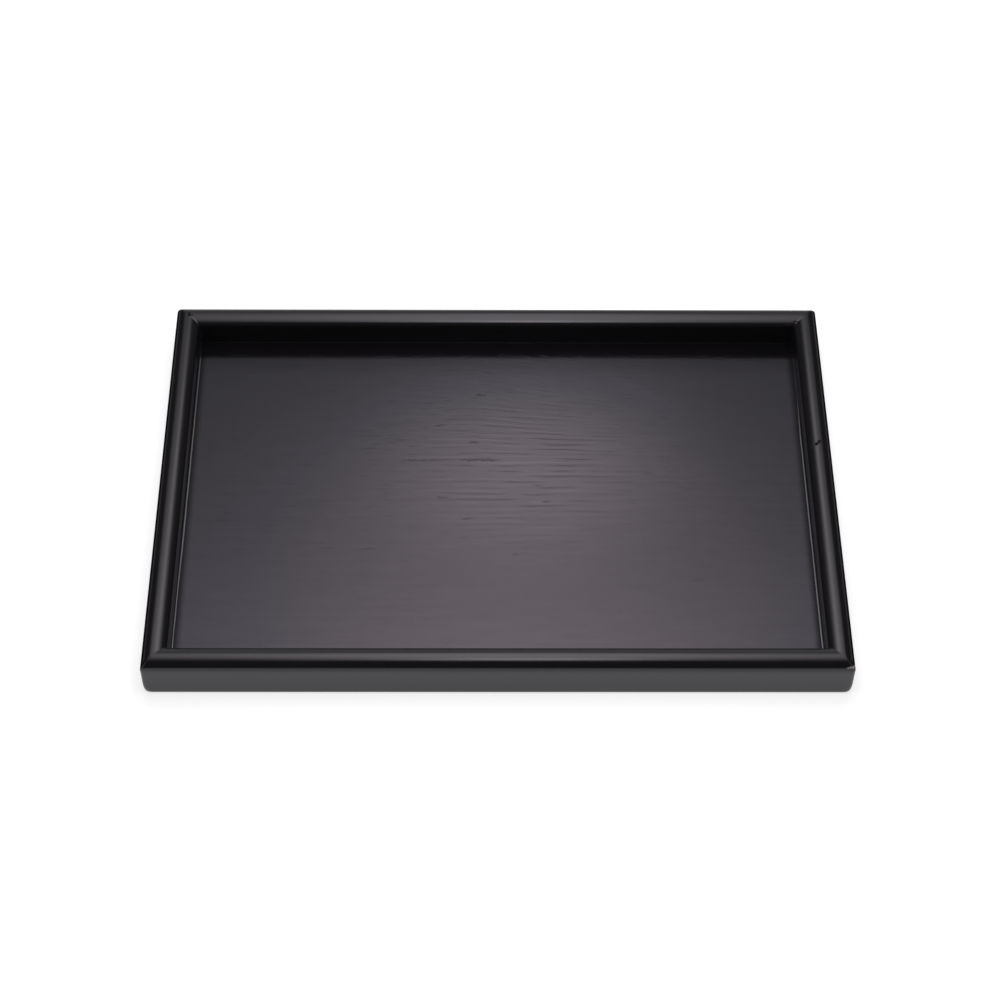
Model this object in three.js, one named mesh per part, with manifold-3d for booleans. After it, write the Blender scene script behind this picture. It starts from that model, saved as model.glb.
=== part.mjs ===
// A shallow black wooden tea tray: four moulded rails mitred into a frame, with a thin plywood
// base held in a groove. Millimetres, +Z up, +X along the long side. The origin is the middle of
// the tray on the surface it stands on.
import * as THREE from "three";
import { mergeVertices } from "three/addons/utils/BufferGeometryUtils.js";
import Module from "manifold-3d";

const wasm = await Module();
wasm.setup();

// Overall size of the frame, outside to outside
const TRAY_LENGTH = 300;
const TRAY_WIDTH = 205;
const RAIL_HEIGHT = 21;
const RAIL_WIDTH = 10.8;

// The moulding of the rails: a three-centred arch on top, rounder outside than inside, and eased
// edges below
const OUTER_SHOULDER_RADIUS = 5.2;
const CROWN_RADIUS = 7;
const INNER_SHOULDER_RADIUS = 3;
const OUTER_FOOT_RADIUS = 1.7;
const INNER_FOOT_RADIUS = 0.6;
const CORNER_RADIUS = 1.3;

// The base, a three-ply sheet let into the rails, and the gap left under it
const BASE_CLEARANCE = 2.6;
const FACE_VENEER_THICKNESS = 0.6;
const CORE_THICKNESS = 2.8;
const BACK_VENEER_THICKNESS = 0.6;
const GROOVE_DEPTH = 4.5;
const PANEL_EDGE_PLAY = 0.5;

// Loose tongues across the mitres
const SPLINE_THICKNESS = 2.2;
const SPLINE_REACH = 4.2;
const SPLINE_HEIGHT = 5.5;
const SPLINE_ABOVE_FLOOR = 2;
const SPLINE_FROM_INNER_CORNER = 4.6;

// Filler line in the seam between floor and rails
const BEAD_LEG = 0.9;
const BEAD_LIP = 0.15;

// Glue film left between pieces, and the extra length by which a cutter passes the work
const GLUE_FILM = 0.1;
const CUTTER_OVERRUN = 5;

// Straight pieces that stand for each rounded stretch of an outline
const ARC_STEPS = 10;
const SQUARE_ENDS = { bevelEnabled: false, curveSegments: ARC_STEPS };

// Heights and inside sizes that follow from the values above
const BACK_TOP = BASE_CLEARANCE + BACK_VENEER_THICKNESS;
const CORE_TOP = BACK_TOP + GLUE_FILM + CORE_THICKNESS;
const FLOOR_TOP = CORE_TOP + GLUE_FILM + FACE_VENEER_THICKNESS;
const WELL_LENGTH = TRAY_LENGTH - 2 * RAIL_WIDTH;
const WELL_WIDTH = TRAY_WIDTH - 2 * RAIL_WIDTH;
const PANEL_TONGUE = GROOVE_DEPTH - PANEL_EDGE_PLAY;
const SPLINE_BOTTOM = FLOOR_TOP + SPLINE_ABOVE_FLOOR;
const SPLINE_TOP = SPLINE_BOTTOM + SPLINE_HEIGHT;
const HALF_TURN = Math.PI;
const QUARTER_TURN = Math.PI / 2;
const THREE_QUARTER_TURN = HALF_TURN + QUARTER_TURN;

// Finishes
const LACQUERED_RAIL = { color: 0x18171a, roughness: 0.25, metalness: 0 };
const STAINED_VENEER = { color: 0x1d1b1f, roughness: 0.4, metalness: 0 };
const STAINED_BACK = { color: 0x201d1e, roughness: 0.6, metalness: 0 };
const PALE_PLY = { color: 0xb9935f, roughness: 0.8, metalness: 0 };
const PLAIN_BEECH = { color: 0xc9a270, roughness: 0.75, metalness: 0 };
const LACQUER_FILLER = { color: 0x232126, roughness: 0.2, metalness: 0 };

// A closed geometry as a solid that can be cut and joined.
function solidOf(geometry) {
  const bare = geometry.clone();
  bare.deleteAttribute("normal");
  bare.deleteAttribute("uv");
  const merged = mergeVertices(bare);
  return new wasm.Manifold(
    new wasm.Mesh({
      numProp: 3,
      vertProperties: merged.attributes.position.array,
      triVerts: new Uint32Array(merged.index.array),
    }),
  );
}

function geometryOf(solid) {
  const mesh = solid.getMesh();
  const geometry = new THREE.BufferGeometry();
  geometry.setAttribute("position", new THREE.BufferAttribute(mesh.vertProperties, 3));
  geometry.setIndex(new THREE.BufferAttribute(mesh.triVerts, 1));
  geometry.computeVertexNormals();
  return geometry;
}

function meshOf(name, geometry, finish) {
  const mesh = new THREE.Mesh(geometry, new THREE.MeshStandardMaterial(finish));
  mesh.name = name;
  return mesh;
}

// An outline in plan, raised from one height to another.
function raised(outline, bottom, top) {
  const geometry = new THREE.ExtrudeGeometry(outline, { ...SQUARE_ENDS, depth: top - bottom });
  return geometry.translate(0, 0, bottom);
}

// A cross-section drawn with x across the piece and y up, run along X from -length/2 to +length/2.
// The section's x then points along +Y, measured from the line y = start.
function runAlongX(section, length, start) {
  const geometry = new THREE.ExtrudeGeometry(section, { ...SQUARE_ENDS, depth: length });
  geometry.translate(0, 0, -length / 2);
  geometry.rotateY(QUARTER_TURN);
  geometry.rotateX(QUARTER_TURN);
  return geometry.translate(0, start, 0);
}

// A shoulder runs from an upright face of the rail into the crown, which stands over its middle.
// The springing is the height of the shoulder's centre. The tilt is the turn, from straight up, at
// which the two arcs meet.
function shoulderOf(largest, crown) {
  const half = RAIL_WIDTH / 2;
  const radius = Math.min(largest, half);
  const offset = half - radius;
  const rise = Math.sqrt((crown - radius) ** 2 - offset ** 2);
  return { radius, springing: RAIL_HEIGHT - crown + rise, tilt: Math.atan2(offset, rise) };
}

// Section of a rail, from its outer face at x = 0 to its inner face at x = RAIL_WIDTH.
// The groove for the base is open to the inner face.
function railSection() {
  const half = RAIL_WIDTH / 2;
  const crown = Math.max(CROWN_RADIUS, half);
  const outer = shoulderOf(OUTER_SHOULDER_RADIUS, crown);
  const inner = shoulderOf(INNER_SHOULDER_RADIUS, crown);
  const innerEnd = QUARTER_TURN - inner.tilt;
  const outerStart = QUARTER_TURN + outer.tilt;
  const grooveBottom = BASE_CLEARANCE - GLUE_FILM;
  const grooveTop = FLOOR_TOP + GLUE_FILM;

  const section = new THREE.Shape();
  section.moveTo(OUTER_FOOT_RADIUS, 0);
  section.lineTo(RAIL_WIDTH - INNER_FOOT_RADIUS, 0);
  section.absarc(RAIL_WIDTH - INNER_FOOT_RADIUS, INNER_FOOT_RADIUS, INNER_FOOT_RADIUS, -QUARTER_TURN, 0);
  section.lineTo(RAIL_WIDTH, grooveBottom);
  section.lineTo(RAIL_WIDTH - GROOVE_DEPTH, grooveBottom);
  section.lineTo(RAIL_WIDTH - GROOVE_DEPTH, grooveTop);
  section.lineTo(RAIL_WIDTH, grooveTop);
  section.absarc(RAIL_WIDTH - inner.radius, inner.springing, inner.radius, 0, innerEnd);
  section.absarc(half, RAIL_HEIGHT - crown, crown, innerEnd, outerStart);
  section.absarc(outer.radius, outer.springing, outer.radius, outerStart, HALF_TURN);
  section.absarc(OUTER_FOOT_RADIUS, OUTER_FOOT_RADIUS, OUTER_FOOT_RADIUS, HALF_TURN, THREE_QUARTER_TURN);
  return section;
}

// Plan of the frame's outside with its rounded corners.
function frameOutline(length, width) {
  const x = length / 2 - CORNER_RADIUS;
  const y = width / 2 - CORNER_RADIUS;
  const outline = new THREE.Shape();
  outline.absarc(x, -y, CORNER_RADIUS, -QUARTER_TURN, 0);
  outline.absarc(x, y, CORNER_RADIUS, 0, QUARTER_TURN);
  outline.absarc(-x, y, CORNER_RADIUS, QUARTER_TURN, HALF_TURN);
  outline.absarc(-x, -y, CORNER_RADIUS, HALF_TURN, THREE_QUARTER_TURN);
  return outline;
}

// Plan of the stock that the two mitre cuts leave at the front of a frame of this length and width,
// half a glue film back from the true mitre. It passes the outside and inside of the rail.
function mitredPlan(length, width) {
  const outside = -width / 2 - CUTTER_OVERRUN;
  const inside = -width / 2 + RAIL_WIDTH + CUTTER_OVERRUN;
  const setBack = GLUE_FILM / Math.SQRT2;
  const endAt = (y) => length / 2 - (y + width / 2) - setBack;
  return new THREE.Shape([
    new THREE.Vector2(-endAt(outside), outside),
    new THREE.Vector2(endAt(outside), outside),
    new THREE.Vector2(endAt(inside), inside),
    new THREE.Vector2(-endAt(inside), inside),
  ]);
}

// Plan of a loose tongue with round ends, or of its slot when it is made larger by a clearance.
function splinePlan(clearance) {
  const radius = SPLINE_THICKNESS / 2 + clearance;
  const centre = SPLINE_REACH - SPLINE_THICKNESS / 2;
  const plan = new THREE.Shape();
  plan.absarc(centre, 0, radius, -QUARTER_TURN, QUARTER_TURN);
  plan.absarc(-centre, 0, radius, QUARTER_TURN, THREE_QUARTER_TURN);
  return plan;
}

// A loose tongue or its slot, across the mitre of the corner on the sides given by the two signs.
function atCorner(geometry, length, width, sideX, sideY) {
  const inset = RAIL_WIDTH - SPLINE_FROM_INNER_CORNER / Math.SQRT2;
  geometry.rotateZ(Math.atan2(-sideY, sideX));
  return geometry.translate(sideX * (length / 2 - inset), sideY * (width / 2 - inset), 0);
}

// A rail at the front of a frame of this length and width, turned about Z to its own side.
function rail(name, length, width, turn) {
  const moulding = solidOf(runAlongX(railSection(), length, -width / 2));
  const below = -CUTTER_OVERRUN;
  const above = RAIL_HEIGHT + CUTTER_OVERRUN;
  let solid = moulding.intersect(solidOf(raised(mitredPlan(length, width), below, above)));
  solid = solid.intersect(solidOf(raised(frameOutline(length, width), below, above)));
  for (const end of [-1, 1]) {
    const slot = raised(splinePlan(GLUE_FILM), SPLINE_BOTTOM - GLUE_FILM, SPLINE_TOP + GLUE_FILM);
    solid = solid.subtract(solidOf(atCorner(slot, length, width, end, -1)));
  }
  const mesh = meshOf(name, geometryOf(solid), LACQUERED_RAIL);
  mesh.rotation.z = turn;
  return mesh;
}

function cornerSpline(name, sideX, sideY) {
  const tongue = raised(splinePlan(0), SPLINE_BOTTOM, SPLINE_TOP);
  return meshOf(name, atCorner(tongue, TRAY_LENGTH, TRAY_WIDTH, sideX, sideY), PLAIN_BEECH);
}

// One ply of the base, between two heights, with its edges in the grooves.
function ply(name, bottom, top, finish) {
  const length = WELL_LENGTH + 2 * PANEL_TONGUE;
  const width = WELL_WIDTH + 2 * PANEL_TONGUE;
  const geometry = new THREE.BoxGeometry(length, width, top - bottom);
  return meshOf(name, geometry.translate(0, 0, (top + bottom) / 2), finish);
}

function rectangle(length, width) {
  return new THREE.Shape([
    new THREE.Vector2(-length / 2, -width / 2),
    new THREE.Vector2(length / 2, -width / 2),
    new THREE.Vector2(length / 2, width / 2),
    new THREE.Vector2(-length / 2, width / 2),
  ]);
}

// The filler line runs all round the well, a glue film clear of the rails and the floor. A flat
// ring is hollowed by a round-edged block, as a fingertip smooths filler into a corner.
function seamBead(name) {
  const length = WELL_LENGTH - 2 * GLUE_FILM;
  const width = WELL_WIDTH - 2 * GLUE_FILM;
  const hollow = BEAD_LEG - BEAD_LIP;
  const ring = rectangle(length, width);
  ring.holes.push(rectangle(length - 2 * hollow, width - 2 * hollow));
  const block = new THREE.ExtrudeGeometry(rectangle(length - 2 * BEAD_LIP, width - 2 * BEAD_LIP), {
    depth: CUTTER_OVERRUN,
    bevelThickness: hollow,
    bevelSize: hollow,
    bevelOffset: -hollow,
    bevelSegments: ARC_STEPS,
  });
  const solid = solidOf(raised(ring, 0, BEAD_LEG)).subtract(solidOf(block.translate(0, 0, BEAD_LEG)));
  const mesh = meshOf(name, geometryOf(solid), LACQUER_FILLER);
  mesh.position.z = FLOOR_TOP + GLUE_FILM;
  return mesh;
}

const tray = new THREE.Group();
tray.add(
  rail("front_rail", TRAY_LENGTH, TRAY_WIDTH, 0),
  rail("right_rail", TRAY_WIDTH, TRAY_LENGTH, QUARTER_TURN),
  rail("rear_rail", TRAY_LENGTH, TRAY_WIDTH, HALF_TURN),
  rail("left_rail", TRAY_WIDTH, TRAY_LENGTH, THREE_QUARTER_TURN),
  cornerSpline("corner_spline_front_left", -1, -1),
  cornerSpline("corner_spline_front_right", 1, -1),
  cornerSpline("corner_spline_rear_left", -1, 1),
  cornerSpline("corner_spline_rear_right", 1, 1),
  ply("base_back_veneer", BASE_CLEARANCE, BACK_TOP, STAINED_BACK),
  ply("base_core", BACK_TOP + GLUE_FILM, CORE_TOP, PALE_PLY),
  ply("base_face_veneer", CORE_TOP + GLUE_FILM, FLOOR_TOP, STAINED_VENEER),
  seamBead("seam_bead"),
);

export default tray;
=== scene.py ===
# A black wooden tea tray: four mitred rails round a thin plywood base, set out for a studio picture.
# Metres, +Z up, +X along the long side. The origin is the middle of the tray, on the table.
# Sizes and places within a finish are in millimetres.
import math

import bmesh
import bpy
from mathutils import Matrix, Vector, noise


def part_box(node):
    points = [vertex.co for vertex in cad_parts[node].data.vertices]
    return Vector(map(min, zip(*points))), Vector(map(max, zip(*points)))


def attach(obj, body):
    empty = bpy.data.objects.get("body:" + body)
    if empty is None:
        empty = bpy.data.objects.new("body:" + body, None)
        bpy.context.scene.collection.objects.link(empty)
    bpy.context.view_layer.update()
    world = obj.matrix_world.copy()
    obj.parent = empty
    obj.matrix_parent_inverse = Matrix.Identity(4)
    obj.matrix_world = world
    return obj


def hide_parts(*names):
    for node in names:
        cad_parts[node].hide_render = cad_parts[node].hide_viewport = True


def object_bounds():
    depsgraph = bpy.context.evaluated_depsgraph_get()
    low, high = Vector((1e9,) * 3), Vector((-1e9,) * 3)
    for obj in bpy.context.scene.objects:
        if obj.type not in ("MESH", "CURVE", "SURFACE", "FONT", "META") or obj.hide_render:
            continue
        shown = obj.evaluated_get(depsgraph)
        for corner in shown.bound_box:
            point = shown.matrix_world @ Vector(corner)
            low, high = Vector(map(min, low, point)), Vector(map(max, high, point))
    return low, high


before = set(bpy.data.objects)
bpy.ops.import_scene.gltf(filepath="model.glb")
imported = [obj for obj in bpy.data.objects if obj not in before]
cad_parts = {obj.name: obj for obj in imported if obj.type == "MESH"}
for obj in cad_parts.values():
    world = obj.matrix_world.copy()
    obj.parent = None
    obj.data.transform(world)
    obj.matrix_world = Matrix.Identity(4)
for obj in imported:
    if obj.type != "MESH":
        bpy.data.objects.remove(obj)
cad_low, cad_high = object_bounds()


# Back veneer of the base. The lower ply is a thin sliced hardwood veneer, stained black and given
# one matt coat. It is pressed to the core and shows only when the tray is turned over.
MM = 0.001
BACK_STAIN = "#1b1718"
BACK_STAIN_PALE = "#2a2523"
BACK_PORE_SIZE = (9.0, 0.35, 0.35)
BACK_PORE_DEPTH = 0.05
BACK_ROUGHNESS = (0.66, 0.5)
BACK_COAT_IOR = 1.48


def linear(colour):
    """An sRGB hex colour as the linear RGBA that shaders take."""
    channels = [int(colour[i:i + 2], 16) / 255 for i in (1, 3, 5)]
    return tuple(c / 12.92 if c <= 0.04045 else ((c + 0.055) / 1.055) ** 2.4 for c in channels) + (1.0,)


def add(tree, kind, inputs, **settings):
    """Adds a node with its settings. Each input takes a value, another node or one of its outputs."""
    node = tree.nodes.new(kind)
    for name, value in settings.items():
        setattr(node, name, value)
    sockets = [socket for socket in node.inputs if socket.enabled]
    for key, value in inputs.items():
        socket = sockets[key] if isinstance(key, int) else next(s for s in sockets if s.name == key)
        if isinstance(value, bpy.types.Node):
            value = next(output for output in value.outputs if output.enabled)
        if isinstance(value, bpy.types.NodeSocket):
            tree.links.new(value, socket)
        else:
            socket.default_value = value
    return node


def new_finish(name):
    """An empty material, its node tree and the piece's own place in millimetres."""
    material = bpy.data.materials.new(name)
    material.use_nodes = True
    tree = material.node_tree
    tree.nodes.clear()
    place = add(tree, "ShaderNodeTexCoord", {}).outputs["Object"]
    in_mm = add(tree, "ShaderNodeMapping", {"Vector": place, "Scale": (1 / MM, 1 / MM, 1 / MM)})
    return material, tree, in_mm


def wood_streaks(tree, place, size, detail, distortion=0.0):
    """Uneven streaks of wood, each about as large along X, Y and Z as the size says."""
    shrunk = add(tree, "ShaderNodeMapping", {"Vector": place, "Scale": tuple(1 / side for side in size)})
    return add(tree, "ShaderNodeTexNoise", {
        "Vector": shrunk, "Scale": 1.0, "Detail": detail, "Distortion": distortion})


def dress(name, material):
    """Gives a piece of the frame its finish."""
    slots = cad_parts[name].data.materials
    slots.clear()
    slots.append(material)


def matt_stained_back():
    """Black stain soaked into open pores under one thin coat: dull, with fine paler streaks."""
    material, tree, place = new_finish("matt_black_stained_veneer")
    pores = wood_streaks(tree, place, BACK_PORE_SIZE, detail=3.0)
    tone = add(tree, "ShaderNodeMapRange", {"Value": pores, "From Min": 0.35, "From Max": 0.7})
    colour = add(tree, "ShaderNodeMix", {
        "Factor": tone, "A": linear(BACK_STAIN), "B": linear(BACK_STAIN_PALE)}, data_type="RGBA")
    dull = add(tree, "ShaderNodeMapRange", {
        "Value": pores, "To Min": BACK_ROUGHNESS[0], "To Max": BACK_ROUGHNESS[1]})
    relief = add(tree, "ShaderNodeBump", {
        "Height": pores, "Distance": BACK_PORE_DEPTH * MM, "Strength": 1.0})
    shader = add(tree, "ShaderNodeBsdfPrincipled", {
        "Base Color": colour, "Roughness": dull, "Normal": relief, "IOR": BACK_COAT_IOR})
    add(tree, "ShaderNodeOutputMaterial", {"Surface": shader})
    return material


dress("base_back_veneer", matt_stained_back())


# Core of the base. The middle ply is raw rotary-cut softwood with its grain across the tray, glued
# between the two veneers. Its edges sit in the groove of the rails, so none of it is left bare.
CORE_PALE = "#c9a878"
CORE_LATE = "#a67c4c"
CORE_RING_SIZE = (3.2, 70.0, 3.2)
CORE_ROUGHNESS = (0.9, 0.75)


def raw_core_ply():
    """Unfinished peeled veneer: pale, dry and fibrous, with wide wandering late-wood bands."""
    material, tree, place = new_finish("raw_plywood_core")
    bands = wood_streaks(tree, place, CORE_RING_SIZE, detail=4.0, distortion=0.4)
    tone = add(tree, "ShaderNodeMapRange", {"Value": bands, "From Min": 0.38, "From Max": 0.62})
    colour = add(tree, "ShaderNodeMix", {
        "Factor": tone, "A": linear(CORE_PALE), "B": linear(CORE_LATE)}, data_type="RGBA")
    dry = add(tree, "ShaderNodeMapRange", {
        "Value": bands, "To Min": CORE_ROUGHNESS[0], "To Max": CORE_ROUGHNESS[1]})
    shader = add(tree, "ShaderNodeBsdfPrincipled", {"Base Color": colour, "Roughness": dry})
    add(tree, "ShaderNodeOutputMaterial", {"Surface": shader})
    return material


dress("base_core", raw_core_ply())


# Face veneer of the base. The floor of the tray is a crown-cut open-pored veneer, its grain along
# the long side, stained black and sprayed with a thin satin lacquer that leaves the pores open.
VENEER_STAIN = "#0a090b"
VENEER_STAIN_PALE = "#131114"
HEART_LINE = 20.0
FAN_START = -10.0
FAN_END = 60.0
FAN_LENGTH = 230.0
FIGURE_CENTRE = (12.0, 14.0, 0.0)
FIGURE_REACH = (60.0, 50.0, 1.0)
FIGURE_STRENGTH = (0.12, 0.9)
RING_SPACING = 3.4
RING_DRIFT = 1.1
RING_DRIFT_SIZE = (45.0, 9.0, 1.0)
RING_SHARPNESS = 3.0
RING_RUN_SIZE = (23.0, RING_SPACING, 1.0)
VENEER_MARKS = (
    (-34.0, 20.0, 16.0, 0.5, 1.0), (-8.0, 20.2, 12.0, 0.75, 1.4), (-10.4, 30.6, 3.4, 0.8, 1.3),
    (-24.5, -1.6, 3.6, 0.65, 1.0), (-13.5, -13.6, 5.0, 0.65, 1.0), (-56.5, -30.2, 3.6, 0.6, 0.9),
    (-26.0, 40.7, 3.6, 0.6, 0.9), (-44.0, 32.0, 4.2, 0.6, 0.8), (-7.5, 59.3, 3.6, 0.65, 1.0),
    (18.0, 5.7, 4.0, 0.6, 1.0), (21.5, -3.8, 3.0, 0.65, 0.9), (7.8, -33.4, 1.6, 0.7, 1.0),
    (-31.0, -35.9, 3.4, 0.6, 0.7), (88.0, -47.6, 5.0, 0.6, 0.6))
MARK_SHAKE = (1.5, 0.8, 0.0)
MARK_SHAKE_LENGTH = 1.6
VENEER_STREAK = (68.0, 62.0, -0.58, 30.0, 4.0, 0.45)
DASH_SIZE = (9.0, 1.0, 1.0)
DASH_DEPTH = 0.52
DASHES_IN_FIGURE = 0.35
CALM_FRONT = (-62.0, -12.0)
DASHES_AT_FRONT = 0.45
FIBRE_SIZE = (14.0, 0.45, 1.0)
FIBRE_RELIEF = 0.2
PORE_DEPTH = 0.015
BAND_SIZE = (35.0, 3.0, 1.0)
# Painted highlight: the floor's shine is raised towards its middle. Painted shade: the shine is cut down
# near the side walls and the far wall.
SHEEN_HIGHLIGHT_CENTRE = (6.0, 18.0, 0.0)
SHEEN_HIGHLIGHT_REACH = (145.0, 85.0, 1.0)
SHEEN_HIGHLIGHT_RANGE = (0.53, 0.68)
LINE_SHEEN = (0.8, 1.24)
FIBRE_SHEEN = (0.93, 1.07)
BAND_SHEEN = (0.96, 1.04)
SHADE_BY_SIDE_WALL = (1.0, 4.5)
SHEEN_IN_SIDE_SHADE = 0.35
SHADE_BY_FAR_WALL = (12.0, 23.0)
SHEEN_IN_FAR_SHADE = 0.78
SATIN_ROUGHNESS = 0.14
LINE_ROUGHNESS = 0.1
LACQUER_IOR = 1.5
LIT_SHEEN_TINT = "#fff3ff"
DIM_SHEEN_TINT = "#f3efff"
LIT_TINT_CENTRE = (15.0, -45.0, 0.0)
LIT_TINT_REACH = (128.0, 118.0, 1.0)


def soft_spot(tree, place, centre, reach, tilt=0.0):
    """A round or oval spot: 1 at its centre, falling evenly to 0 at its reach."""
    near = add(tree, "ShaderNodeMapping", {
        "Vector": place, "Location": centre, "Rotation": (0.0, 0.0, tilt), "Scale": reach},
        vector_type="TEXTURE")
    return add(tree, "ShaderNodeTexGradient", {"Vector": near}, gradient_type="SPHERICAL")


def across_rings(tree, x, y):
    """The distance from the heart line, counted across the rings, which fan out beyond that line."""
    from_heart = add(tree, "ShaderNodeMath", {0: y, 1: HEART_LINE}, operation="SUBTRACT")
    fan = add(tree, "ShaderNodeMapRange", {
        "Value": x, "From Min": FAN_START, "From Max": FAN_END,
        "To Min": 0.0, "To Max": (FAN_END - FAN_START) / FAN_LENGTH})
    beyond_heart = add(tree, "ShaderNodeMath", {0: from_heart, 1: 0.0}, operation="MAXIMUM")
    return add(tree, "ShaderNodeMath", {0: beyond_heart, 1: fan, 2: from_heart}, operation="MULTIPLY_ADD")


def ring_lines(tree, ring, ring_place, figure):
    """Pale and dark lines along the rings, broken into runs and strongest in the figure."""
    drift = wood_streaks(tree, ring_place, RING_DRIFT_SIZE, detail=2.0)
    drifted = add(tree, "ShaderNodeMath", {
        0: drift, 1: RING_DRIFT * RING_SPACING, 2: ring}, operation="MULTIPLY_ADD")
    turn = add(tree, "ShaderNodeMath", {0: drifted, 1: math.tau / RING_SPACING}, operation="MULTIPLY")
    swing = add(tree, "ShaderNodeMath", {0: turn}, operation="SINE")
    lines = add(tree, "ShaderNodeMath", {0: swing, 1: RING_SHARPNESS}, operation="POWER")
    broken = wood_streaks(tree, ring_place, RING_RUN_SIZE, detail=1.5)
    runs = add(tree, "ShaderNodeMapRange", {
        "Value": broken, "From Min": 0.38, "From Max": 0.62}, interpolation_type="SMOOTHSTEP")
    strength = add(tree, "ShaderNodeMapRange", {
        "Value": figure, "From Max": 0.65, "To Min": FIGURE_STRENGTH[0], "To Max": FIGURE_STRENGTH[1]},
        interpolation_type="SMOOTHSTEP")
    in_runs = add(tree, "ShaderNodeMath", {0: lines, 1: runs}, operation="MULTIPLY")
    return add(tree, "ShaderNodeMath", {0: in_runs, 1: strength}, operation="MULTIPLY")


def with_marks(tree, flat, grain):
    """Adds to the grain the single dark marks, with ragged edges, and one wide pale streak."""
    shake = add(tree, "ShaderNodeTexNoise", {
        "Vector": flat, "Scale": 1 / MARK_SHAKE_LENGTH, "Detail": 1.0}, normalize=False)
    shaken = add(tree, "ShaderNodeVectorMath", {
        0: shake.outputs["Color"], 1: MARK_SHAKE, 2: flat}, operation="MULTIPLY_ADD")
    for x, y, half_length, half_width, depth in VENEER_MARKS:
        mark = soft_spot(tree, shaken, (x, y, 0.0), (half_length, half_width, 1.0))
        core = add(tree, "ShaderNodeMapRange", {
            "Value": mark, "From Max": 0.6, "To Max": -depth}, interpolation_type="SMOOTHSTEP")
        grain = add(tree, "ShaderNodeMath", {0: grain, 1: core})
    x, y, tilt, half_length, half_width, gain = VENEER_STREAK
    streak = soft_spot(tree, flat, (x, y, 0.0), (half_length, half_width, 1.0), tilt)
    return add(tree, "ShaderNodeMath", {0: streak, 1: gain, 2: grain}, operation="MULTIPLY_ADD")


def with_dashes(tree, ring_place, y, figure, grain):
    """Adds to the grain short dark dashes, fainter in the figure and towards the near rail."""
    flecks = wood_streaks(tree, ring_place, DASH_SIZE, detail=1.0)
    dashes = add(tree, "ShaderNodeMapRange", {
        "Value": flecks, "From Min": 0.56, "From Max": 0.72, "To Max": -DASH_DEPTH},
        interpolation_type="SMOOTHSTEP")
    lively = add(tree, "ShaderNodeMapRange", {
        "Value": y, "From Min": CALM_FRONT[0], "From Max": CALM_FRONT[1], "To Min": DASHES_AT_FRONT},
        interpolation_type="SMOOTHSTEP")
    sparse = add(tree, "ShaderNodeMapRange", {
        "Value": figure, "From Max": 0.4, "To Min": 1.0, "To Max": DASHES_IN_FIGURE},
        interpolation_type="SMOOTHSTEP")
    shown = add(tree, "ShaderNodeMath", {0: lively, 1: sparse}, operation="MULTIPLY")
    return add(tree, "ShaderNodeMath", {0: dashes, 1: shown, 2: grain}, operation="MULTIPLY_ADD")


def sheen_with_painted_light(tree, flat, x, y):
    """Painted highlight and shade in the shine of the coat: fullest in the middle, cut down by the side
    walls and the far wall.
    """
    middle = soft_spot(tree, flat, SHEEN_HIGHLIGHT_CENTRE, SHEEN_HIGHLIGHT_REACH)
    painted_highlight = add(tree, "ShaderNodeMapRange", {
        "Value": middle, "To Min": SHEEN_HIGHLIGHT_RANGE[0], "To Max": SHEEN_HIGHLIGHT_RANGE[1]},
        interpolation_type="SMOOTHSTEP")
    from_side = add(tree, "ShaderNodeMath", {0: x}, operation="ABSOLUTE")
    to_wall = add(tree, "ShaderNodeMath", {
        0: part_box("left_rail")[1].x / -MM, 1: from_side}, operation="SUBTRACT")
    side_wall_shade = add(tree, "ShaderNodeMapRange", {
        "Value": to_wall, "From Min": SHADE_BY_SIDE_WALL[0], "From Max": SHADE_BY_SIDE_WALL[1], "To Min": SHEEN_IN_SIDE_SHADE},
        interpolation_type="SMOOTHSTEP")
    to_far_wall = add(tree, "ShaderNodeMath", {
        0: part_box("rear_rail")[0].y / MM, 1: y}, operation="SUBTRACT")
    far_wall_shade = add(tree, "ShaderNodeMapRange", {
        "Value": to_far_wall, "From Min": SHADE_BY_FAR_WALL[0], "From Max": SHADE_BY_FAR_WALL[1],
        "To Min": SHEEN_IN_FAR_SHADE}, interpolation_type="SMOOTHSTEP")
    by_sides = add(tree, "ShaderNodeMath", {0: painted_highlight, 1: side_wall_shade}, operation="MULTIPLY")
    return add(tree, "ShaderNodeMath", {0: by_sides, 1: far_wall_shade}, operation="MULTIPLY")


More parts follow.
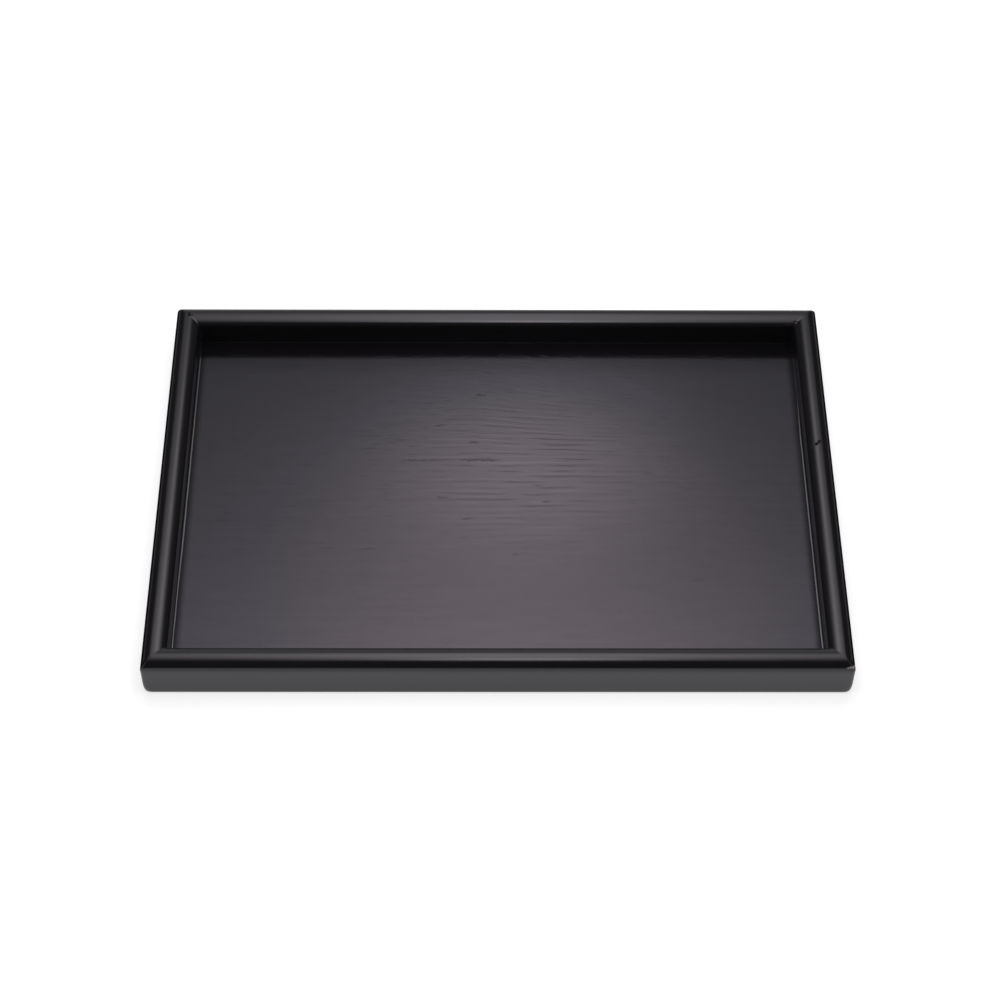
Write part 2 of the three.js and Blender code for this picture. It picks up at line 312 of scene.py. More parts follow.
def satin_stained_veneer():
    """Black stain under satin lacquer: a soft glow of the lamp, with a painted highlight in the middle and
    painted shade by the walls, crossed by fine dark and paler lines.
    """
    material, tree, place = new_finish("satin_black_stained_veneer")
    parts = add(tree, "ShaderNodeSeparateXYZ", {"Vector": place})
    x, y = parts.outputs["X"], parts.outputs["Y"]
    flat = add(tree, "ShaderNodeCombineXYZ", {"X": x, "Y": y})
    ring = across_rings(tree, x, y)
    ring_place = add(tree, "ShaderNodeCombineXYZ", {"X": x, "Y": ring})
    figure = soft_spot(tree, flat, FIGURE_CENTRE, FIGURE_REACH)
    grain = ring_lines(tree, ring, ring_place, figure)
    grain = with_marks(tree, flat, grain)
    grain = with_dashes(tree, ring_place, y, figure, grain)
    fibres = wood_streaks(tree, ring_place, FIBRE_SIZE, detail=2.0)
    colour = add(tree, "ShaderNodeMix", {
        "Factor": fibres, "A": linear(VENEER_STAIN), "B": linear(VENEER_STAIN_PALE)}, data_type="RGBA")
    height = add(tree, "ShaderNodeMath", {
        0: fibres, 1: FIBRE_RELIEF, 2: grain}, operation="MULTIPLY_ADD")
    relief = add(tree, "ShaderNodeBump", {
        "Height": height, "Distance": PORE_DEPTH * MM, "Strength": 1.0})

    lined = add(tree, "ShaderNodeMapRange", {
        "Value": grain, "From Min": -1.0, "To Min": LINE_SHEEN[0], "To Max": LINE_SHEEN[1]})
    fibrous = add(tree, "ShaderNodeMapRange", {
        "Value": fibres, "To Min": FIBRE_SHEEN[0], "To Max": FIBRE_SHEEN[1]})
    bands = wood_streaks(tree, ring_place, BAND_SIZE, detail=3.0)
    banded = add(tree, "ShaderNodeMapRange", {
        "Value": bands, "From Min": 0.3, "From Max": 0.7, "To Min": BAND_SHEEN[0], "To Max": BAND_SHEEN[1]})
    sheen = sheen_with_painted_light(tree, flat, x, y)
    for share in (lined, fibrous, banded):
        sheen = add(tree, "ShaderNodeMath", {0: sheen, 1: share}, operation="MULTIPLY")
    dark_lines = add(tree, "ShaderNodeMapRange", {"Value": grain, "From Max": -1.0})
    satin = add(tree, "ShaderNodeMath", {
        0: dark_lines, 1: LINE_ROUGHNESS, 2: SATIN_ROUGHNESS}, operation="MULTIPLY_ADD")
    # Painted tint of the reflection: warmer in the lit middle of the floor, cooler towards its dimmer
    # edges.
    lit_middle = soft_spot(tree, flat, LIT_TINT_CENTRE, LIT_TINT_REACH)
    lit_middle_share = add(tree, "ShaderNodeMapRange", {
        "Value": lit_middle, "From Max": 0.35}, interpolation_type="SMOOTHSTEP")
    tint = add(tree, "ShaderNodeMix", {
        "Factor": lit_middle_share, "A": linear(DIM_SHEEN_TINT), "B": linear(LIT_SHEEN_TINT)}, data_type="RGBA")
    shader = add(tree, "ShaderNodeBsdfPrincipled", {
        "Base Color": colour, "Roughness": satin, "Normal": relief, "IOR": LACQUER_IOR,
        "Specular IOR Level": sheen, "Specular Tint": tint})
    add(tree, "ShaderNodeOutputMaterial", {"Surface": shader})
    return material


dress("base_face_veneer", satin_stained_veneer())


# Corner tongues. A loose tongue of raw beech crosses each mitre inside the rails and holds the glued
# joint. The four are cut from one strip with rounded ends, and nothing of them shows outside.
BEECH_PALE = "#d0a878"
BEECH_FLECK = "#a9794a"
BEECH_FLECK_SIZE = (0.5, 0.5, 2.5)
BEECH_ROUGHNESS = (0.82, 0.68)
TONGUE_THICKNESS = 2.2 * MM
TONGUE_REACH = 4.2 * MM


def raw_beech():
    """Planed, unfinished beech: even pinkish tan with short darker flecks along the grain."""
    material, tree, place = new_finish("raw_planed_beech")
    flecks = wood_streaks(tree, place, BEECH_FLECK_SIZE, detail=2.0)
    tone = add(tree, "ShaderNodeMapRange", {"Value": flecks, "From Min": 0.52, "From Max": 0.7})
    colour = add(tree, "ShaderNodeMix", {
        "Factor": tone, "A": linear(BEECH_PALE), "B": linear(BEECH_FLECK)}, data_type="RGBA")
    dry = add(tree, "ShaderNodeMapRange", {
        "Value": flecks, "To Min": BEECH_ROUGHNESS[0], "To Max": BEECH_ROUGHNESS[1]})
    shader = add(tree, "ShaderNodeBsdfPrincipled", {"Base Color": colour, "Roughness": dry})
    add(tree, "ShaderNodeOutputMaterial", {"Surface": shader})
    return material


beech = raw_beech()
for corner in ("front_left", "front_right", "rear_left", "rear_right"):
    dress("corner_spline_" + corner, beech)


# Rails. Four lengths of one solid-wood moulding with a rounded top and a groove for the base, mitred,
# glued into a frame, sanded at the corners and sprayed with black satin lacquer.
OUTER_SHOULDER_RADIUS = 5.2 * MM
CROWN_RADIUS = 7.0 * MM
INNER_SHOULDER_RADIUS = 3.0 * MM
OUTER_FOOT_RADIUS = 1.7 * MM
INNER_FOOT_RADIUS = 0.6 * MM
OUTER_CORNER_BLEND = 1.5 * MM
INNER_CORNER_BLEND = 0.5 * MM
CORNER_FOOT_BLEND = 2.8 * MM
CORNER_FOOT_HEIGHT = 7.0 * MM
GLUE_FILM = 0.1 * MM
PANEL_EDGE_PLAY = 0.5 * MM
MITRE_SET_BACK = 0.01 * MM
MITRE_FACING = 0.99
SHOULDER_STEPS = 16
CROWN_STEPS = 8
FOOT_STEPS = 6
OUTER_FACE_STEPS = 8
INNER_FACE_STEPS = 6
SKIRT_STEPS = 2
UNDERSIDE_STEPS = 3
RAIL_STATIONS = 160
SHARP_ANGLE = math.radians(40)
CORNER_WEAR_REACH = 2.4 * MM
CORNER_WEAR = 0.7
WORN_CORNER_WEAR = 0.85
FOOT_WEAR_REACH = 1.6 * MM
SHOULDER_SHADE_HEIGHTS = (15.2, 16.2, 19.5, 20.2)
LACQUER_BLACK = "#181719"
BARE_WOOD_AND_GLINT = "#a19e9c"
LACQUER_SHEEN = "#fcf8ff"
LACQUER_SHINE = 0.5
LACQUER_ROUGHNESS = (0.13, 0.27)
LACQUER_GRAIN_SIZE = (30.0, 0.8, 0.8)
SPRAY_DEPTH = 0.006
RIPPLE_SIZE = 1.5
RIPPLE_SHARE = 0.3
SMEAR_SIZE = 25.0
SCUFF_SIZE = 0.6
CORNER_GLINT_PATCH = ((148.8, -101.7, 18.35), (3.8, 2.4, 0.6))
LACQUER_CRACKS = (
    ((143.6, 18.9, 20.5), 33.0, (4.4, 0.8, 4.0)), ((-143.6, 96.4, 20.6), -40.0, (2.8, 1.0, 3.0)),
    ((140.2, 93.2, 20.5), -24.0, (2.0, 0.7, 3.0)), ((137.4, 92.0, 19.6), -12.0, (3.4, 0.6, 1.5)))
CRACK_DEPTH = 0.06
CRACK_SHAKE = (1.1, 1.1, 0.4)
CRACK_SHAKE_LENGTH = 1.2

rail_height = cad_high.z - cad_low.z
tray_length = cad_high.x - cad_low.x
tray_width = cad_high.y - cad_low.y
rail_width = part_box("front_rail")[1].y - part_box("front_rail")[0].y
panel_low, panel_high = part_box("base_back_veneer")[0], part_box("base_face_veneer")[1]
groove_back = cad_high.x - panel_high.x - PANEL_EDGE_PLAY
tongue_low, tongue_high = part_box("corner_spline_front_right")


def line_to(bm, pen, y, z, steps=1):
    """Draws a section on from its last vertex in a straight line."""
    start = pen.co.copy()
    for step in range(1, steps + 1):
        pen = bmesh.ops.extrude_vert_indiv(bm, verts=[pen])["verts"][0]
        pen.co = start.lerp(Vector((0, y, z)), step / steps)
    return pen


def arc_about(bm, pen, y, z, angle, steps):
    """Draws a section on from its last vertex in an arc about a centre."""
    turned = bmesh.ops.spin(bm, geom=[pen], cent=(0, y, z), axis=(1, 0, 0), angle=angle, steps=steps)
    return next(end for end in turned["geom_last"] if isinstance(end, bmesh.types.BMVert))


def draw_moulding(bm):
    """The section of a rail, from its outer face at y = 0 over the top to its inner face."""
    half = rail_width / 2
    springing, turn, tilt = {}, {}, {}
    for radius in (OUTER_SHOULDER_RADIUS, INNER_SHOULDER_RADIUS):
        offset = half - radius
        rise = math.sqrt((CROWN_RADIUS - radius) ** 2 - offset ** 2)
        springing[radius] = rail_height - CROWN_RADIUS + rise
        tilt[radius] = math.atan2(offset, rise)
        turn[radius] = math.pi / 2 - tilt[radius]
    crown_turn = sum(tilt.values())
    groove_low, groove_high = panel_low.z - GLUE_FILM, panel_high.z + GLUE_FILM
    outer, inner = OUTER_SHOULDER_RADIUS, INNER_SHOULDER_RADIUS
    start = pen = bm.verts.new((0, 0, OUTER_FOOT_RADIUS))
    pen = line_to(bm, pen, 0, springing[outer], OUTER_FACE_STEPS)
    pen = arc_about(bm, pen, outer, springing[outer], -turn[outer], SHOULDER_STEPS)
    pen = arc_about(bm, pen, half, rail_height - CROWN_RADIUS, -crown_turn, CROWN_STEPS)
    pen = arc_about(bm, pen, rail_width - inner, springing[inner], -turn[inner], SHOULDER_STEPS)
    pen = line_to(bm, pen, rail_width, groove_high, INNER_FACE_STEPS)
    pen = line_to(bm, pen, groove_back, groove_high)
    pen = line_to(bm, pen, groove_back, groove_low)
    pen = line_to(bm, pen, rail_width, groove_low)
    pen = line_to(bm, pen, rail_width, INNER_FOOT_RADIUS, SKIRT_STEPS)
    pen = arc_about(bm, pen, rail_width - INNER_FOOT_RADIUS, INNER_FOOT_RADIUS, -math.pi / 2, FOOT_STEPS)
    pen = line_to(bm, pen, OUTER_FOOT_RADIUS, 0, UNDERSIDE_STEPS)
    pen = arc_about(bm, pen, OUTER_FOOT_RADIUS, OUTER_FOOT_RADIUS, -math.pi / 2, FOOT_STEPS)
    bmesh.ops.pointmerge(bm, verts=[start, pen], merge_co=start.co)


def sweep_between_mitres(bm, half_length, shares):
    """Runs the drawn section along X. A share of 1 or -1 puts it in the mitre plane of that end."""
    edges = bm.edges[:]
    for vert in bm.verts:
        vert.co.x = shares[0] * (half_length - vert.co.y)
    for share in shares[1:]:
        moved = bmesh.ops.extrude_edge_only(bm, edges=edges)["geom"]
        edges = [part for part in moved if isinstance(part, bmesh.types.BMEdge)]
        for vert in (part for part in moved if isinstance(part, bmesh.types.BMVert)):
            vert.co.x = share * (half_length - vert.co.y)


def soften_mitre(place, half_length):
    """Sands a mitred corner round outside, most at its foot, and lets lacquer fill its angle inside."""
    share = place.y / rail_width
    low = max(1 - place.z / CORNER_FOOT_HEIGHT, 0) ** 2
    outer = OUTER_CORNER_BLEND + CORNER_FOOT_BLEND * low
    blend = outer + (INNER_CORNER_BLEND - outer) * share
    gap = half_length - abs(place.x) - place.y
    shift = blend / 4 * max(1 - gap / blend, 0) ** 2
    place.x = math.copysign(abs(place.x) - shift, place.x)
    place.y += shift


def mitre_faces(bm, outward):
    """The faces at one end of a rail that lie in its mitre plane."""
    bm.normal_update()
    return [face for face in bm.faces if face.normal.dot(outward) > MITRE_FACING]


def cut_tongue_slot(bm, half_length, end):
    """Sinks the slot for a loose tongue into the mitre face at one end of a rail."""
    outward = Vector((end, 1, 0)).normalized()
    inward = Vector((-end, 1, 0)).normalized()
    from_side = cad_high.x - (tongue_low.x + tongue_high.x) / 2
    centre = Vector((end * (half_length - from_side), from_side, (tongue_low.z + tongue_high.z) / 2))
    half_width = TONGUE_THICKNESS / 2 + GLUE_FILM
    half_height = (tongue_high.z - tongue_low.z) / 2 + GLUE_FILM
    up = Vector((0, 0, 1))
    for side in (-half_width * inward, half_width * inward, -half_height * up, half_height * up):
        cap = mitre_faces(bm, outward)
        edges = {edge for face in cap for edge in face.edges}
        verts = {vert for face in cap for vert in face.verts}
        bmesh.ops.bisect_plane(bm, geom=[*cap, *edges, *verts], plane_co=centre + side, plane_no=side)
    cap = mitre_faces(bm, outward)
    mouth = min(cap, key=lambda face: (face.calc_center_median() - centre).length)
    floor_of_slot = bmesh.ops.extrude_discrete_faces(bm, faces=[mouth])["faces"][0]
    bmesh.ops.translate(bm, verts=floor_of_slot.verts, vec=-(TONGUE_REACH + GLUE_FILM) * outward)


def wear_at(place, half_length, worn_end):
    """How far the lacquer is worn: at the upright corners, most at one end, and along the foot."""
    from_corner = math.hypot(half_length - abs(place.x), place.y)
    corner = max(1 - from_corner / CORNER_WEAR_REACH, 0)
    strength = WORN_CORNER_WEAR if place.x * worn_end > 0 else CORNER_WEAR
    foot = max(1 - math.hypot(place.y, place.z) / FOOT_WEAR_REACH, 0)
    return corner * strength + foot


def shoulder_shade_at(place):
    """How far the outer shoulder of a short rail loses its shine: painted shade along that shoulder."""
    if place.y > rail_width / 2:
        return 0.0
    low, full, fading, top = (height * MM for height in SHOULDER_SHADE_HEIGHTS)
    return max(min((place.z - low) / (full - low), (top - place.z) / (top - fading), 1), 0)


def bare_wood_and_glint(tree, place, shaken):
    """Where the lacquer is worn off in flecks on the edges, plus one pale patch at a front corner: a
    painted highlight in the colour of bare wood.
    """
    wear = add(tree, "ShaderNodeAttribute", {}, attribute_name="wear").outputs["Fac"]
    scuffs = add(tree, "ShaderNodeTexNoise", {"Vector": place, "Scale": 1 / SCUFF_SIZE, "Detail": 3.0})
    bare = add(tree, "ShaderNodeMath", {0: scuffs, 1: wear}, operation="MULTIPLY")
    flecks = add(tree, "ShaderNodeMapRange", {"Value": bare, "From Min": 0.35, "From Max": 0.5})
    # Painted highlight: a pale patch on the front-right corner.
    corner_glint = soft_spot(tree, shaken, *CORNER_GLINT_PATCH)
    glint_patch = add(tree, "ShaderNodeMapRange", {"Value": corner_glint, "From Min": 0.1, "From Max": 0.4})
    return add(tree, "ShaderNodeMath", {0: flecks, 1: glint_patch}, operation="MAXIMUM")


def open_cracks(tree, shaken):
    """Where the lacquer has split: 1 in a crack and 0 beside it."""
    crack = 0.0
    for centre, tilt, size in LACQUER_CRACKS:
        split = soft_spot(tree, shaken, centre, size, math.radians(tilt))
        opened = add(tree, "ShaderNodeMapRange", {
            "Value": split, "From Min": 0.1, "From Max": 0.5}, interpolation_type="SMOOTHSTEP")
        crack = add(tree, "ShaderNodeMath", {0: crack, 1: opened}, operation="MAXIMUM")
    return crack


def satin_black_lacquer():
    """Sprayed satin lacquer over sanded wood: deep black with a clean soft shine, faintly rippled, with
    painted shade on the outer shoulders of the short rails and a painted highlight at one corner.
    """
    material, tree, place = new_finish("satin_black_lacquer")
    along = add(tree, "ShaderNodeAttribute", {}, attribute_name="rail_place").outputs["Vector"]
    grain = wood_streaks(tree, along, LACQUER_GRAIN_SIZE, detail=2.0)
    ripple = add(tree, "ShaderNodeTexNoise", {"Vector": place, "Scale": 1 / RIPPLE_SIZE, "Detail": 1.0})
    smear = add(tree, "ShaderNodeTexNoise", {"Vector": place, "Scale": 1 / SMEAR_SIZE, "Detail": 3.0})
    satin = add(tree, "ShaderNodeMapRange", {
        "Value": smear, "To Min": LACQUER_ROUGHNESS[0], "To Max": LACQUER_ROUGHNESS[1]})
    shake = add(tree, "ShaderNodeTexNoise", {
        "Vector": place, "Scale": 1 / CRACK_SHAKE_LENGTH, "Detail": 2.0}, normalize=False)
    shaken = add(tree, "ShaderNodeVectorMath", {
        0: shake.outputs["Color"], 1: CRACK_SHAKE, 2: place}, operation="MULTIPLY_ADD")
    colour = add(tree, "ShaderNodeMix", {
        "Factor": bare_wood_and_glint(tree, place, shaken), "A": linear(LACQUER_BLACK), "B": linear(BARE_WOOD_AND_GLINT)},
        data_type="RGBA")
    crack = open_cracks(tree, shaken)
    rippled = add(tree, "ShaderNodeMath", {
        0: ripple, 1: RIPPLE_SHARE, 2: grain}, operation="MULTIPLY_ADD")
    height = add(tree, "ShaderNodeMath", {
        0: crack, 1: -CRACK_DEPTH / SPRAY_DEPTH, 2: rippled}, operation="MULTIPLY_ADD")
    relief = add(tree, "ShaderNodeBump", {
        "Height": height, "Distance": SPRAY_DEPTH * MM, "Strength": 1.0})
    # Painted shade: the outer shoulders of the short rails lose their shine, so they stay dark and do not
    # reflect the white table.
    shoulder_shade = add(tree, "ShaderNodeAttribute", {}, attribute_name="shoulder_shade").outputs["Fac"]
    dull = add(tree, "ShaderNodeMath", {0: crack, 1: shoulder_shade}, operation="MAXIMUM")
    shine = add(tree, "ShaderNodeMapRange", {"Value": dull, "To Min": LACQUER_SHINE, "To Max": 0.0})
    shader = add(tree, "ShaderNodeBsdfPrincipled", {
        "Base Color": colour, "Roughness": satin, "Normal": relief, "IOR": LACQUER_IOR,
        "Specular IOR Level": shine, "Specular Tint": linear(LACQUER_SHEEN)})
    add(tree, "ShaderNodeOutputMaterial", {"Surface": shader})
    return material


def new_piece(name, bm, material, node):
    """Turns a finished bmesh into a piece that stands for a node of the frame."""
    mesh = bpy.data.meshes.new(name)
    bmesh.ops.recalc_face_normals(bm, faces=bm.faces)
    bm.to_mesh(mesh)
    bm.free()
    mesh.shade_smooth()
    mesh.set_sharp_from_angle(angle=SHARP_ANGLE)
    mesh.materials.append(material)
    piece = bpy.data.objects.new(name, mesh)
    bpy.context.scene.collection.objects.link(piece)
    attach(piece, "root")
    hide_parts(node)
    return piece


def rail(name, length, width, turn, material, worn_end=0, painted_shoulder_shade=False):
    """A rail of a frame of this length and width, made along its front and turned to its own side."""
    bm = bmesh.new()
    draw_moulding(bm)
    half_length = length / 2
    shares = [math.sin(math.pi * (step / RAIL_STATIONS - 0.5)) for step in range(RAIL_STATIONS + 1)]
    sweep_between_mitres(bm, half_length - MITRE_SET_BACK, shares)
    bmesh.ops.holes_fill(bm, edges=[edge for edge in bm.edges if edge.is_boundary])
    bmesh.ops.recalc_face_normals(bm, faces=bm.faces)
    local = bm.verts.layers.float_vector.new("rail_place")
    wear = bm.verts.layers.float.new("wear")
    shoulder_shade = bm.verts.layers.float.new("shoulder_shade")
    for vert in bm.verts:
        vert[wear] = wear_at(vert.co, half_length, worn_end)
        vert[shoulder_shade] = shoulder_shade_at(vert.co) if painted_shoulder_shade else 0
        soften_mitre(vert.co, half_length)
        vert[local] = (vert.co + Vector((turn * length, 0, 0))) / MM
    for end in (-1, 1):
        cut_tongue_slot(bm, half_length, end)
    bmesh.ops.translate(bm, verts=bm.verts, vec=(0, -width / 2, 0))
    bmesh.ops.rotate(bm, verts=bm.verts, cent=(0, 0, 0), matrix=Matrix.Rotation(turn, 3, "Z"))
    return new_piece(name, bm, material, name.removesuffix("_moulding"))


lacquer = satin_black_lacquer()
rail("front_rail_moulding", tray_length, tray_width, 0, lacquer, worn_end=1)
rail("right_rail_moulding", tray_width, tray_length, math.pi / 2, lacquer, worn_end=-1, painted_shoulder_shade=True)
rail("rear_rail_moulding", tray_length, tray_width, math.pi, lacquer)
rail("left_rail_moulding", tray_width, tray_length, -math.pi / 2, lacquer, painted_shoulder_shade=True)


# Seam bead. Filler and lacquer drawn by hand into the seam between the floor and the rails, where it
# dries to a thin glossy fillet that catches the lamp along the two short sides.
SHORT_BEAD = (2.1 * MM, math.radians(6), math.radians(29))
LONG_BEAD = (0.6 * MM, math.radians(52), math.radians(84))
BEAD_STEPS = 8
BEAD_STATIONS = 240
BEAD_CLEARANCE = 0.02 * MM
BEAD_END_GAP = 0.3 * MM
BEAD_WANDER = 0.15
BEAD_WANDER_LENGTH = 9.0 * MM
BEAD_WANDER_STEP = 7
EVEN_BEAD_RUN = (1.0, 1.0, 0.0, 1.0)
RIGHT_BEAD_RUN = (0.95, 0.2, 36.0, 58.0)
LEFT_BEAD_RUN = (1.1, 0.7, 25.0, 55.0)
BEAD_BLACK = "#141215"
BEAD_DRAG_SIZE = 2.5
BEAD_DRAG_DEPTH = 0.03
BEAD_ROUGHNESS = (0.08, 0.2)
BEAD_IOR = 1.6


def glossy_filler():
    """Filler under pooled lacquer: black and wetter looking than the satin coat around it."""
    material, tree, place = new_finish("glossy_black_filler")
    drag = add(tree, "ShaderNodeTexNoise", {"Vector": place, "Scale": 1 / BEAD_DRAG_SIZE, "Detail": 3.0})
    gloss = add(tree, "ShaderNodeMapRange", {
        "Value": drag, "To Min": BEAD_ROUGHNESS[0], "To Max": BEAD_ROUGHNESS[1]})
    relief = add(tree, "ShaderNodeBump", {
        "Height": drag, "Distance": BEAD_DRAG_DEPTH * MM, "Strength": 1.0})
    shader = add(tree, "ShaderNodeBsdfPrincipled", {
        "Base Color": linear(BEAD_BLACK), "Roughness": gloss, "Normal": relief, "IOR": BEAD_IOR})
    add(tree, "ShaderNodeOutputMaterial", {"Surface": shader})
    return material


def bead_side(bm, length, width, turn, bead, run):
    """One side of the bead, in the corner of the front rail and the floor, turned to its own side."""
    radius, low_tilt, high_tilt = bead
    first_girth, last_girth, thins_from, thins_to = run
    side = bmesh.new()
    low = panel_high.z + BEAD_CLEARANCE
    reach = radius * (math.sin(high_tilt) - math.sin(low_tilt))
    centre = reach + radius * math.sin(low_tilt), low + radius * math.cos(low_tilt)
    foot = side.verts.new((0, reach, low))
    wall = arc_about(side, foot, *centre, low_tilt - high_tilt, BEAD_STEPS)
    corner = line_to(side, wall, 0, low)
    bmesh.ops.contextual_create(side, geom=[corner, foot])
    shares = [2 * step / BEAD_STATIONS - 1 for step in range(BEAD_STATIONS + 1)]
    sweep_between_mitres(side, length / 2 - BEAD_END_GAP, shares)
    bmesh.ops.holes_fill(side, edges=[edge for edge in side.edges if edge.is_boundary])
    for vert in side.verts:
        wander = noise.noise(Vector((vert.co.x / BEAD_WANDER_LENGTH, turn * BEAD_WANDER_STEP, 0)))
        thinned = min(max((vert.co.x / MM - thins_from) / (thins_to - thins_from), 0), 1)
        size = first_girth + (last_girth - first_girth) * thinned + BEAD_WANDER * wander
        vert.co.y *= size
        vert.co.z = low + (vert.co.z - low) * size
    bmesh.ops.translate(side, verts=side.verts, vec=(0, -width / 2, 0))
    bmesh.ops.rotate(side, verts=side.verts, cent=(0, 0, 0), matrix=Matrix.Rotation(turn, 3, "Z"))
    mesh = bpy.data.meshes.new("bead_side")
    side.to_mesh(mesh)
    side.free()
    bm.from_mesh(mesh)
    bpy.data.meshes.remove(mesh)


bead = bmesh.new()
well_length = tray_length - 2 * rail_width - 2 * BEAD_CLEARANCE
well_width = tray_width - 2 * rail_width - 2 * BEAD_CLEARANCE
for half_turn in (0, math.pi):
    bead_side(bead, well_length, well_width, half_turn, LONG_BEAD, EVEN_BEAD_RUN)
bead_side(bead, well_width, well_length, math.pi / 2, SHORT_BEAD, RIGHT_BEAD_RUN)
bead_side(bead, well_width, well_length, -math.pi / 2, SHORT_BEAD, LEFT_BEAD_RUN)
new_piece("seam_bead_fillet", bead, glossy_filler(), "seam_bead")


# Studio. A white table under the tray, and one large soft lamp overhead that is brightest along its
# middle. The room is dim, with a paler backdrop ahead of the camera and a window on either side of it.
FLOOR_SIZE = 12.0
FLOOR_WHITE = "#c8c8c8"
FLOOR_SHADE = "#000000"
FLOOR_CLOUD_SIZE = 120.0
FLOOR_GLOW = 0.72
FLOOR_GLOW_REACH = (480.0, 800.0)
LAMP_HEIGHT = 0.495
LAMP_LOW = (-0.48, -0.255)
LAMP_HIGH = (0.42, 0.62)
LAMP_AXIS = 0.012
LAMP_HALF_WIDTH = (0.06, 0.208, 0.165)
LAMP_WIDENS_TO = 0.07
LAMP_NARROWS = (0.22, 0.4)
LAMP_DIMS_FROM = 0.14
LAMP_BACK = 0.05
LAMP_RADIANCE = 2.75
LAMP_TINT = "#fffcff"
LAMP_SPOTS = (
    ((0.03, 0.43, 0.0), (0.15, 0.12, 1.0), 0.35), ((0.025, -0.13, 0.0), (0.09, 0.13, 1.0), 1.1))
ROOM_DARK = 0.04
ROOM_BACK = 0.62
ROOM_SIDES = 0.7
BACKDROP_RISE = (0.2, 0.6)
BACKDROP_SIDES = (0.5, 0.2)
WINDOW_FRONT = (-0.05, -0.3)
WINDOW_SIDE = (0.35, 0.55)


def lit_table():
    """A white table top. It glows a little for the camera and for reflections, so that it reads white."""
    material, tree, place = new_finish("white_table")
    cloud = add(tree, "ShaderNodeTexNoise", {"Vector": place, "Scale": 1 / FLOOR_CLOUD_SIZE, "Detail": 2.0})
    tone = add(tree, "ShaderNodeMapRange", {"Value": cloud, "To Min": 0.98, "To Max": 1.0})
    colour = add(tree, "ShaderNodeMix", {
        "Factor": tone, "A": linear(FLOOR_SHADE), "B": linear(FLOOR_WHITE)}, data_type="RGBA")
    path = add(tree, "ShaderNodeLightPath", {})
    seen = add(tree, "ShaderNodeMath", {
        0: path.outputs["Is Camera Ray"], 1: path.outputs["Is Glossy Ray"]}, operation="MAXIMUM")
    shown = add(tree, "ShaderNodeMath", {
        0: seen, 1: path.outputs["Is Transmission Ray"]}, operation="MAXIMUM")
    far = add(tree, "ShaderNodeVectorMath", {0: place}, operation="LENGTH").outputs["Value"]
    pool = add(tree, "ShaderNodeMapRange", {
        "Value": far, "From Min": FLOOR_GLOW_REACH[0], "From Max": FLOOR_GLOW_REACH[1],
        "To Min": FLOOR_GLOW, "To Max": 0.0}, interpolation_type="SMOOTHSTEP")
    glow = add(tree, "ShaderNodeMath", {0: shown, 1: pool}, operation="MULTIPLY")
    paint = add(tree, "ShaderNodeBsdfDiffuse", {"Color": colour})
    light = add(tree, "ShaderNodeEmission", {"Strength": glow})
    both = add(tree, "ShaderNodeAddShader", {0: paint, 1: light})
    add(tree, "ShaderNodeOutputMaterial", {"Surface": both})
    return material


def cloth_glow(tree, place):
    """The glow of the lamp's cloth: a soft bar along Y, dimmer at the back, with two brighter spots."""
    parts = add(tree, "ShaderNodeSeparateXYZ", {"Vector": place})
    x, y = parts.outputs["X"], parts.outputs["Y"]
    front_width = add(tree, "ShaderNodeMapRange", {
        "Value": y, "From Min": LAMP_LOW[1], "From Max": LAMP_WIDENS_TO,
        "To Min": LAMP_HALF_WIDTH[0], "To Max": LAMP_HALF_WIDTH[1]}, interpolation_type="SMOOTHSTEP")
    back_width = add(tree, "ShaderNodeMapRange", {
        "Value": y, "From Min": LAMP_NARROWS[0], "From Max": LAMP_NARROWS[1],
        "To Min": LAMP_HALF_WIDTH[1], "To Max": LAMP_HALF_WIDTH[2]}, interpolation_type="SMOOTHSTEP")
    half_width = add(tree, "ShaderNodeMath", {0: front_width, 1: back_width}, operation="MINIMUM")
    off_axis = add(tree, "ShaderNodeMath", {0: x, 1: LAMP_AXIS}, operation="SUBTRACT")
    widths_off = add(tree, "ShaderNodeMath", {0: off_axis, 1: half_width}, operation="DIVIDE")
    fall_off = add(tree, "ShaderNodeMath", {
        0: widths_off, 1: widths_off, 2: 1.0}, operation="MULTIPLY_ADD")
    to_back = add(tree, "ShaderNodeMapRange", {
        "Value": y, "From Min": LAMP_DIMS_FROM, "From Max": LAMP_HIGH[1],
        "To Min": 1.0, "To Max": LAMP_BACK}, interpolation_type="SMOOTHSTEP")
    level = add(tree, "ShaderNodeMath", {0: to_back, 1: fall_off}, operation="DIVIDE")
    for centre, reach, gain in LAMP_SPOTS:
        spot = soft_spot(tree, place, centre, reach)
        bell = add(tree, "ShaderNodeMapRange", {"Value": spot}, interpolation_type="SMOOTHSTEP")
        level = add(tree, "ShaderNodeMath", {0: bell, 1: gain, 2: level}, operation="MULTIPLY_ADD")
    return level


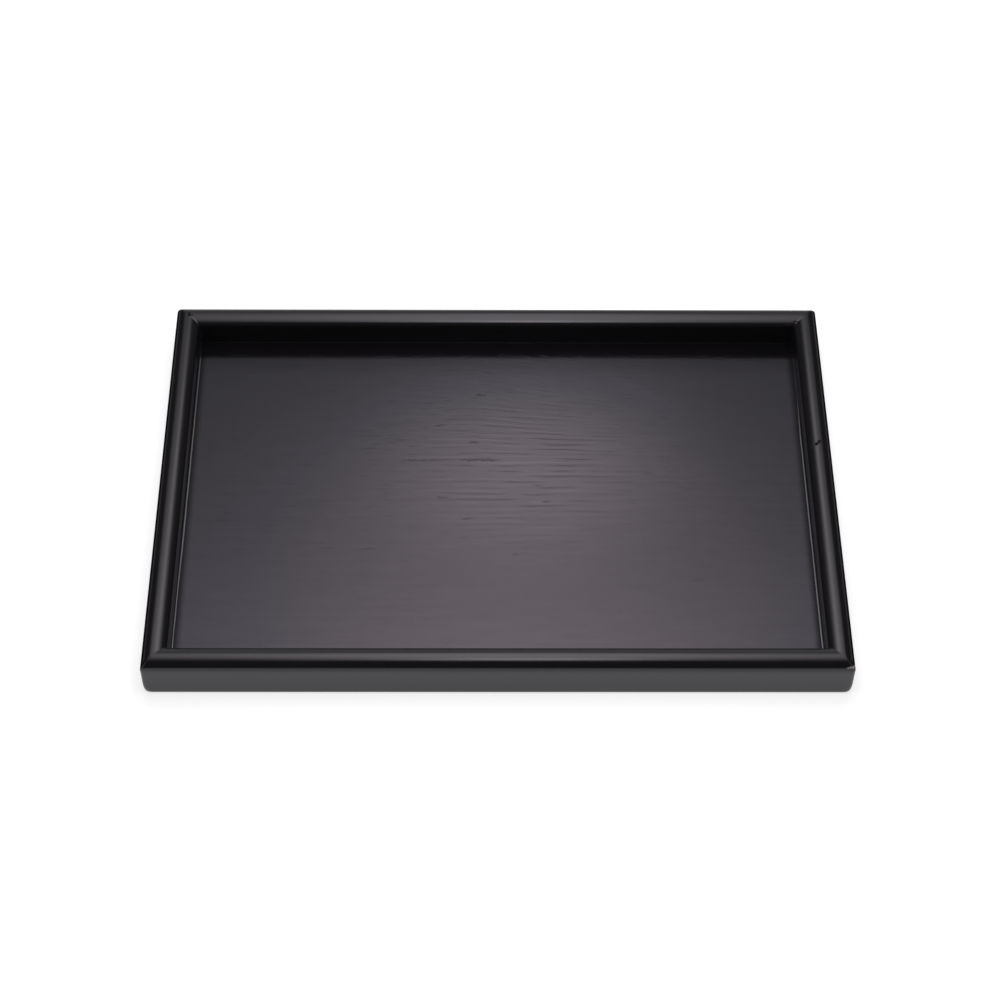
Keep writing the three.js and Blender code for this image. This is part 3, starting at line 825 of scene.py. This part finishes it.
def room_light(tree):
    """How bright the room is in each direction from the tray."""
    look = add(tree, "ShaderNodeTexCoord", {}).outputs["Generated"]
    parts = add(tree, "ShaderNodeSeparateXYZ", {"Vector": look})
    aside = add(tree, "ShaderNodeMath", {0: parts.outputs["X"]}, operation="ABSOLUTE")
    behind = add(tree, "ShaderNodeMapRange", {
        "Value": parts.outputs["Y"], "From Min": BACKDROP_RISE[0], "From Max": BACKDROP_RISE[1]},
        interpolation_type="SMOOTHSTEP")
    ahead = add(tree, "ShaderNodeMapRange", {
        "Value": aside, "From Min": BACKDROP_SIDES[0], "From Max": BACKDROP_SIDES[1]},
        interpolation_type="SMOOTHSTEP")
    backdrop = add(tree, "ShaderNodeMath", {0: behind, 1: ahead}, operation="MULTIPLY")
    shade = add(tree, "ShaderNodeMapRange", {"Value": backdrop, "To Min": ROOM_DARK, "To Max": ROOM_BACK})
    in_front = add(tree, "ShaderNodeMapRange", {
        "Value": parts.outputs["Y"], "From Min": WINDOW_FRONT[0], "From Max": WINDOW_FRONT[1]},
        interpolation_type="SMOOTHSTEP")
    to_side = add(tree, "ShaderNodeMapRange", {
        "Value": aside, "From Min": WINDOW_SIDE[0], "From Max": WINDOW_SIDE[1]},
        interpolation_type="SMOOTHSTEP")
    windows = add(tree, "ShaderNodeMath", {0: in_front, 1: to_side}, operation="MULTIPLY")
    return add(tree, "ShaderNodeMath", {0: windows, 1: ROOM_SIDES, 2: shade}, operation="MULTIPLY_ADD")


table = bmesh.new()
bmesh.ops.create_grid(table, x_segments=1, y_segments=1, size=FLOOR_SIZE / 2)
table_mesh = bpy.data.meshes.new("table")
table.to_mesh(table_mesh)
table.free()
table_mesh.materials.append(lit_table())
floor = bpy.data.objects.new("table", table_mesh)
bpy.context.scene.collection.objects.link(floor)

lamp_data = bpy.data.lights.new("softbox", "AREA")
lamp_data.shape = "RECTANGLE"
lamp_data.size, lamp_data.size_y = (high - low for low, high in zip(LAMP_LOW, LAMP_HIGH))
lamp_data.energy = LAMP_RADIANCE * math.pi * lamp_data.size * lamp_data.size_y
lamp_data.use_nodes = True
lamp_tree = lamp_data.node_tree
lamp_tree.nodes.clear()
lamp_share = add(lamp_tree, "ShaderNodeNewGeometry", {}).outputs["Parametric"]
lamp_place = add(lamp_tree, "ShaderNodeMapping", {
    "Vector": lamp_share, "Scale": (lamp_data.size, lamp_data.size_y, 0.0), "Location": (*LAMP_LOW, 0.0)})
lamp_glow = add(lamp_tree, "ShaderNodeEmission", {
    "Color": linear(LAMP_TINT), "Strength": cloth_glow(lamp_tree, lamp_place)})
add(lamp_tree, "ShaderNodeOutputLight", {"Surface": lamp_glow})
lamp = bpy.data.objects.new("softbox", lamp_data)
lamp.location = (*((low + high) / 2 for low, high in zip(LAMP_LOW, LAMP_HIGH)), LAMP_HEIGHT)
bpy.context.scene.collection.objects.link(lamp)

room = bpy.data.worlds.new("studio")
room.use_nodes = True
room.node_tree.nodes.clear()
air = add(room.node_tree, "ShaderNodeBackground", {"Strength": room_light(room.node_tree)})
add(room.node_tree, "ShaderNodeOutputWorld", {"Surface": air})
bpy.context.scene.world = room


# Camera. A long lens in front of the tray looks down on it at a little over half a right angle.
# Its place and its turn were fitted to the edges of the tray in the photograph.
SENSOR_WIDTH = 36.0
FOCAL_LENGTH = 88.2
CAMERA_PLACE = Vector((-7.38, -683.92, 864.52)) * MM
CAMERA_PITCH = math.radians(51.5543)
CAMERA_YAW = math.radians(0.7231)
CAMERA_ROLL = math.radians(0.6264)

camera_data = bpy.data.cameras.new("camera")
camera_data.sensor_width = SENSOR_WIDTH
camera_data.lens = FOCAL_LENGTH
camera = bpy.data.objects.new("camera", camera_data)
heading = Matrix.Rotation(-CAMERA_YAW, 4, "Z")
slope = Matrix.Rotation(math.pi / 2 - CAMERA_PITCH, 4, "X")
lean = Matrix.Rotation(CAMERA_ROLL, 4, "Z")
camera.matrix_world = Matrix.Translation(CAMERA_PLACE) @ heading @ slope @ lean
bpy.context.scene.collection.objects.link(camera)
bpy.context.scene.camera = camera
bpy.context.scene.view_settings.view_transform = "Standard"
